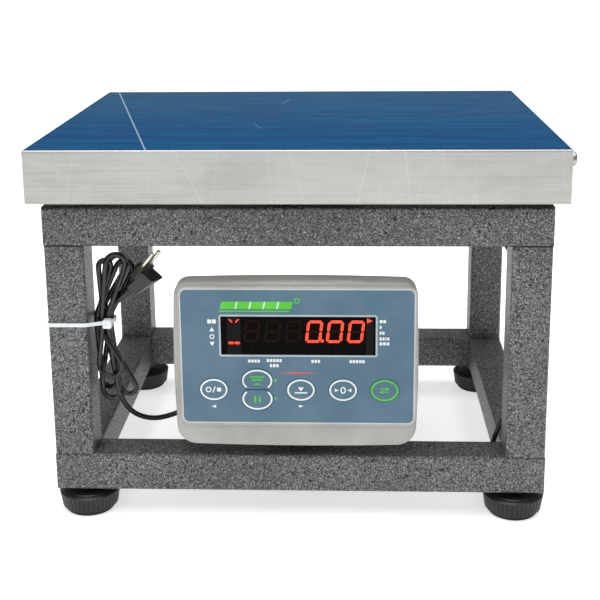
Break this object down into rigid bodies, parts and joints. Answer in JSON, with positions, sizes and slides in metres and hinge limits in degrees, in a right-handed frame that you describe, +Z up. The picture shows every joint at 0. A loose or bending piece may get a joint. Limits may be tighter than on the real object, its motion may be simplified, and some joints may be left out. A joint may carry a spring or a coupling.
{
  "type": "bench scale on a raised stand",
  "caption": "Bench scale: box-section stand on levelling feet, load cell and spider under a lift-off pan with blue film, and a tilting LED indicator with a tied mains lead.",
  "frame": {"origin": "middle of the footprint, on the floor plane under the levelling feet", "axes": "+X to the reader's right along the front, +Y away from the reader, +Z up through the weighing pan"},
  "size_m": [0.504, 0.4, 0.372],
  "materials": {
    "stand_paint": "black and silver hammered vein paint, half gloss",
    "black_paint": "black powder coat, half gloss",
    "zinc_steel": "bright zinc plated steel",
    "cell_alloy": "milled aluminium alloy",
    "level_plastic": "clear acrylic over tinted liquid",
    "soft_rubber": "black moulded rubber",
    "stainless": "brushed stainless sheet",
    "blue_film": "blue peel-off protective film, semi gloss",
    "bright_screw": "plated steel button head",
    "knob_plastic": "black moulded plastic, satin",
    "housing_plastic": "warm light grey moulded plastic, fine texture",
    "panel_print": "printed blue-grey polyester overlay, satin",
    "dark_pane": "smoked filter pane",
    "led_module": "dark potted display module",
    "board_green": "green solder mask",
    "transformer_iron": "varnished laminated iron",
    "battery_case": "dark grey moulded case",
    "switch_plastic": "black moulded plastic",
    "gland_rubber": "black moulded rubber",
    "lead_sheath": "black soft vinyl sheath, semi gloss",
    "plug_body": "black moulded vinyl",
    "pin_metal": "nickel plated brass",
    "tie_nylon": "natural white nylon"
  },
  "bodies": {
    "stand": {"top_cross_rails": "stand_paint", "front_bottom_rail": "stand_paint", "rear_bottom_rail": "stand_paint", "corner_posts": "stand_paint", "top_side_rails": "stand_paint", "bottom_side_rails": "stand_paint", "load_cell_beam": "stand_paint", "rail_end_plates": "stand_paint", "platform_spider": "black_paint", "indicator_bracket": "black_paint", "foot_weld_nuts": "zinc_steel", "load_cell_spacers": "zinc_steel", "load_cell_bolts": "zinc_steel", "overload_stop_bolts": "zinc_steel", "bracket_bolts": "zinc_steel", "load_cell": "cell_alloy", "spirit_level": "level_plastic", "pan_support_pads": "soft_rubber", "tilt_knobs": "knob_plastic", "cable_clips": "gland_rubber", "mains_lead": "lead_sheath", "lead_hank": "lead_sheath", "mains_plug": "plug_body", "plug_pins": "pin_metal", "cable_tie": "tie_nylon", "load_cell_cable": "lead_sheath"},
    "pan": {"weighing_pan": "stainless", "protective_film": "blue_film", "pan_side_screw": "bright_screw"},
    "indicator": {"indicator_front_shell": "housing_plastic", "indicator_rear_shell": "housing_plastic", "battery_cover": "housing_plastic", "front_overlay": "panel_print", "display_window": "dark_pane", "led_display_module": "led_module", "main_circuit_board": "board_green", "power_transformer": "transformer_iron", "battery": "battery_case", "power_switch": "switch_plastic", "cable_glands": "gland_rubber", "shell_screws": "zinc_steel"},
    "gross_net_key": {"gross_net_key": "panel_print"},
    "print_key": {"print_key": "panel_print"},
    "hold_key": {"hold_key": "panel_print"},
    "tare_key": {"tare_key": "panel_print"},
    "zero_key": {"zero_key": "panel_print"},
    "unit_key": {"unit_key": "panel_print"},
    "rocker": {"power_rocker": "switch_plastic"},
    "front_left_foot_base": {"front_left_foot_pad": "soft_rubber"},
    "front_left_foot_screw": {"front_left_foot_knob": "knob_plastic", "front_left_foot_stud": "zinc_steel"},
    "front_right_foot_base": {"front_right_foot_pad": "soft_rubber"},
    "front_right_foot_screw": {"front_right_foot_knob": "knob_plastic", "front_right_foot_stud": "zinc_steel"},
    "rear_left_foot_base": {"rear_left_foot_pad": "soft_rubber"},
    "rear_left_foot_screw": {"rear_left_foot_knob": "knob_plastic", "rear_left_foot_stud": "zinc_steel"},
    "rear_right_foot_base": {"rear_right_foot_pad": "soft_rubber"},
    "rear_right_foot_screw": {"rear_right_foot_knob": "knob_plastic", "rear_right_foot_stud": "zinc_steel"}
  },
  "joints": [
    {"name": "pan_lift", "type": "slide", "parent": "stand", "child": "pan", "axis": [0, 0, 1], "range_m": [0, 0.08]},
    {"name": "indicator_tilt", "type": "hinge", "parent": "stand", "child": "indicator", "pos_m": [0, -0.118, 0.163], "axis": [1, 0, 0], "range_deg": [-20, 8], "deforming": ["mains_lead", "load_cell_cable"]},
    {"name": "gross_net_key_press", "type": "slide", "parent": "indicator", "child": "gross_net_key", "axis": [0, 1, 0], "range_m": [0, 0.0005], "stiffness_N_per_m": 2000, "springref_m": -0.0005},
    {"name": "print_key_press", "type": "slide", "parent": "indicator", "child": "print_key", "axis": [0, 1, 0], "range_m": [0, 0.0005], "stiffness_N_per_m": 2000, "springref_m": -0.0005},
    {"name": "hold_key_press", "type": "slide", "parent": "indicator", "child": "hold_key", "axis": [0, 1, 0], "range_m": [0, 0.0005], "stiffness_N_per_m": 2000, "springref_m": -0.0005},
    {"name": "tare_key_press", "type": "slide", "parent": "indicator", "child": "tare_key", "axis": [0, 1, 0], "range_m": [0, 0.0005], "stiffness_N_per_m": 2000, "springref_m": -0.0005},
    {"name": "zero_key_press", "type": "slide", "parent": "indicator", "child": "zero_key", "axis": [0, 1, 0], "range_m": [0, 0.0005], "stiffness_N_per_m": 2000, "springref_m": -0.0005},
    {"name": "unit_key_press", "type": "slide", "parent": "indicator", "child": "unit_key", "axis": [0, 1, 0], "range_m": [0, 0.0005], "stiffness_N_per_m": 2000, "springref_m": -0.0005},
    {"name": "power_rock", "type": "hinge", "parent": "indicator", "child": "rocker", "pos_m": [0.088, -0.14, 0.12], "axis": [1, 0, 0], "range_deg": [0, 16]},
    {"name": "front_left_foot_height", "type": "slide", "parent": "stand", "child": "front_left_foot_base", "axis": [0, 0, 1], "range_m": [-0.015, 0.003]},
    {"name": "front_left_foot_turn", "type": "hinge", "parent": "front_left_foot_base", "child": "front_left_foot_screw", "pos_m": [-0.212, -0.162, 0.015], "axis": [0, 0, 1], "range_deg": [-3600, 720]},
    {"name": "front_right_foot_height", "type": "slide", "parent": "stand", "child": "front_right_foot_base", "axis": [0, 0, 1], "range_m": [-0.015, 0.003]},
    {"name": "front_right_foot_turn", "type": "hinge", "parent": "front_right_foot_base", "child": "front_right_foot_screw", "pos_m": [0.212, -0.162, 0.015], "axis": [0, 0, 1], "range_deg": [-3600, 720]},
    {"name": "rear_left_foot_height", "type": "slide", "parent": "stand", "child": "rear_left_foot_base", "axis": [0, 0, 1], "range_m": [-0.015, 0.003]},
    {"name": "rear_left_foot_turn", "type": "hinge", "parent": "rear_left_foot_base", "child": "rear_left_foot_screw", "pos_m": [-0.212, 0.162, 0.015], "axis": [0, 0, 1], "range_deg": [-3600, 720]},
    {"name": "rear_right_foot_height", "type": "slide", "parent": "stand", "child": "rear_right_foot_base", "axis": [0, 0, 1], "range_m": [-0.015, 0.003]},
    {"name": "rear_right_foot_turn", "type": "hinge", "parent": "rear_right_foot_base", "child": "rear_right_foot_screw", "pos_m": [0.212, 0.162, 0.015], "axis": [0, 0, 1], "range_deg": [-3600, 720]}
  ],
  "couplings": [
    {"joint": "front_left_foot_turn", "follows": "front_left_foot_height", "rad_per_m": 4188.8},
    {"joint": "front_right_foot_turn", "follows": "front_right_foot_height", "rad_per_m": 4188.8},
    {"joint": "rear_left_foot_turn", "follows": "rear_left_foot_height", "rad_per_m": 4188.8},
    {"joint": "rear_right_foot_turn", "follows": "rear_right_foot_height", "rad_per_m": 4188.8}
  ]
}
